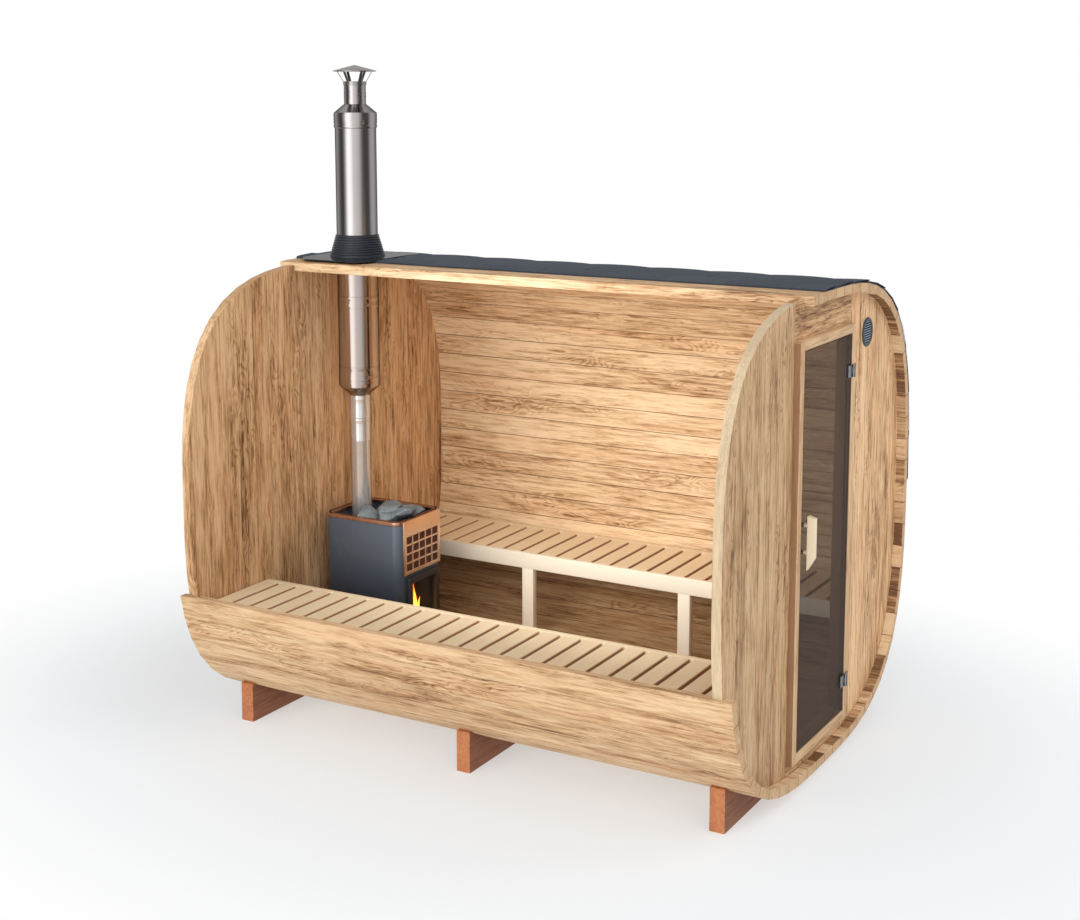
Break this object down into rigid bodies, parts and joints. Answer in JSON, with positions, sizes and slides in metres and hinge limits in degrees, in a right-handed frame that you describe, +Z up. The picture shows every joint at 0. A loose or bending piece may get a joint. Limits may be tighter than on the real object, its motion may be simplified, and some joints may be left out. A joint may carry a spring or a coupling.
{
  "type": "cube sauna",
  "caption": "Cutaway garden sauna cabin: rounded-square stave shell on cradle feet, glass door, two slatted benches, wood stove and insulated flue.",
  "frame": {"origin": "on the ground, under the middle of the middle foot", "axes": "+X along the shell towards the glass door, +Y towards the closed back, +Z up"},
  "size_m": [2.983, 2.276, 3.301],
  "materials": {
    "stave_wood": "oiled golden-brown thermally treated softwood",
    "wall_wood": "oiled golden-brown boards",
    "frame_wood": "oiled red-brown door frame",
    "foot_wood": "red-brown stained beam",
    "floor_wood": "oiled floor boards",
    "bench_wood": "sanded pale aspen",
    "fascia_wood": "sanded pale aspen",
    "grip_wood": "sanded pale grip",
    "tinted_glass": "bronze-tinted toughened glass",
    "hinge_steel": "polished",
    "vent_paint": "satin blue-grey",
    "casing_paint": "satin graphite",
    "firebox_iron": "sooted iron",
    "copper_trim": "brushed copper-coloured sheet",
    "stove_door_iron": "black iron",
    "fire_glass": "heat-proof glass",
    "sauna_stone": "broken grey rock",
    "flue_steel": "brushed stainless",
    "boot_rubber": "ribbed rubber",
    "flashing": "black sheet",
    "shingle": "mineral-faced bitumen shingles"
  },
  "bodies": {
    "hut": {"foot_stove_end": "foot_wood", "foot_middle": "foot_wood", "foot_door_end": "foot_wood", "shell_floor": "stave_wood", "shell_low_front": "stave_wood", "shell_low_back": "stave_wood", "shell_back": "stave_wood", "shell_high_back": "stave_wood", "shell_roof": "stave_wood", "stove_end_wall": "wall_wood", "door_wall_front": "wall_wood", "door_wall_rear": "wall_wood", "door_wall_head": "wall_wood", "door_wall_sill": "wall_wood", "door_jamb_front": "frame_wood", "door_jamb_rear": "frame_wood", "door_head": "frame_wood", "door_sill": "frame_wood", "hinge_brackets": "hinge_steel", "vent_grille": "vent_paint", "floor_deck": "floor_wood", "front_bench_slats": "bench_wood", "front_bench_fascia": "fascia_wood", "front_bench_frame": "fascia_wood", "back_bench_slats": "bench_wood", "back_bench_fascia": "fascia_wood", "back_bench_frame": "fascia_wood", "stove_casing": "casing_paint", "stove_firebox": "firebox_iron", "stove_rim": "copper_trim", "stove_grille": "copper_trim", "stove_stones": "sauna_stone", "stove_pipe": "flue_steel", "flue_reducer": "flue_steel", "flue_pipe": "flue_steel", "flue_top": "flue_steel", "rain_cap": "flue_steel", "flue_boot": "boot_rubber", "flashing_plate": "flashing", "roof_cover": "shingle"},
    "door": {"door_glass": "tinted_glass", "door_handle": "grip_wood", "door_clamps": "hinge_steel"},
    "stove_front": {"stove_door": "stove_door_iron", "stove_door_glass": "fire_glass"}
  },
  "joints": [
    {"name": "door_hinge", "type": "hinge", "parent": "hut", "child": "door", "pos_m": [1.467, 0.2905, 1.125], "axis": [0, 0, 1], "range_deg": [0, 110]},
    {"name": "stove_door_hinge", "type": "hinge", "parent": "hut", "child": "stove_front", "pos_m": [-0.783, 0.15, 0.44], "axis": [0, 0, 1], "range_deg": [0, 110]}
  ]
}
